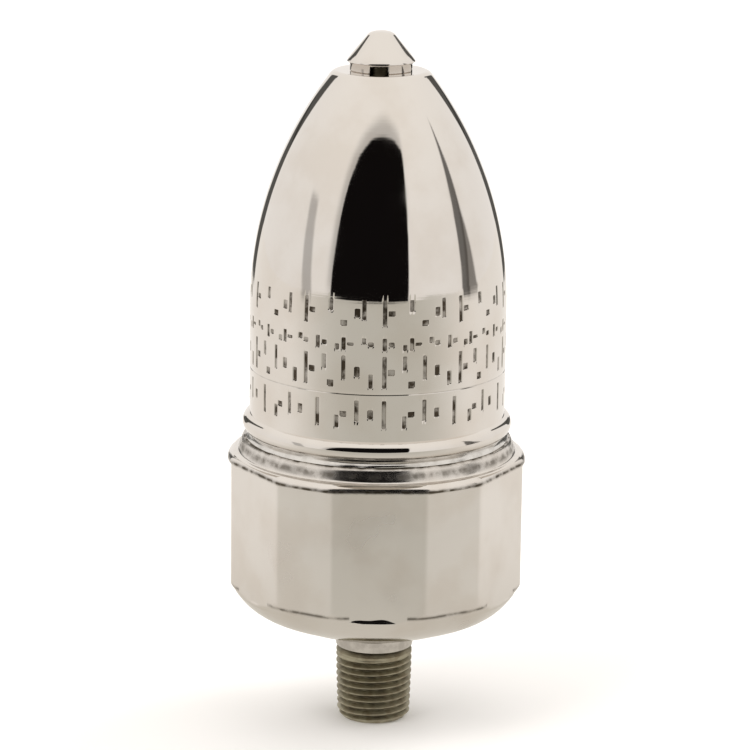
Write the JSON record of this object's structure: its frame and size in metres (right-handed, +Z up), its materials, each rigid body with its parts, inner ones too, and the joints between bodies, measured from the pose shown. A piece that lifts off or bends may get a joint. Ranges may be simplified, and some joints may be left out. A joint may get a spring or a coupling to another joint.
{
  "type": "automatic air vent",
  "caption": "Bullet-shaped automatic air vent for a steam radiator: polished shell on a faceted wrench base, straight threaded shank, slotted cone outlet, float and pin inside.",
  "frame": {"origin": "centre of the shank's lower end", "axes": "+Z up along the shell's axis to the outlet; -Y faces one wide wrench flat; +X to the right of that flat"},
  "size_m": [0.04, 0.039, 0.0943],
  "materials": {
    "plated_brass": "nickel plate over brass, mirror polished",
    "dull_brass": "dull tarnished brass, as threaded",
    "solder": "dull grey tin solder",
    "sheet_brass": "pressed sheet, bright",
    "float_brass": "thin drawn sheet, satin",
    "spring_bronze": "rolled phosphor bronze, satin",
    "turned_brass": "turned, fine tool marks",
    "stainless_pin": "ground stainless steel",
    "washer_rubber": "black heat-resistant rubber"
  },
  "bodies": {
    "housing": {"shell": "plated_brass", "base_cup": "plated_brass", "shank": "dull_brass", "shank_solder": "solder", "seam_solder": "solder", "float_rest": "sheet_brass", "foot_button": "turned_brass", "diaphragm_plate": "turned_brass", "valve_seat": "turned_brass", "seat_washer": "washer_rubber", "outlet_cap": "plated_brass"},
    "float": {"float_tube": "float_brass", "float_head": "float_brass", "head_solder": "solder", "diaphragm": "spring_bronze", "diaphragm_ring": "turned_brass", "ring_solder": "solder", "pin_collar": "turned_brass", "valve_pin": "stainless_pin", "fill_plug": "solder"}
  },
  "joints": [
    {"name": "float_lift", "type": "slide", "parent": "housing", "child": "float", "axis": [0, 0, 1], "range_m": [0, 0.0024], "deforming": ["diaphragm"]}
  ]
}
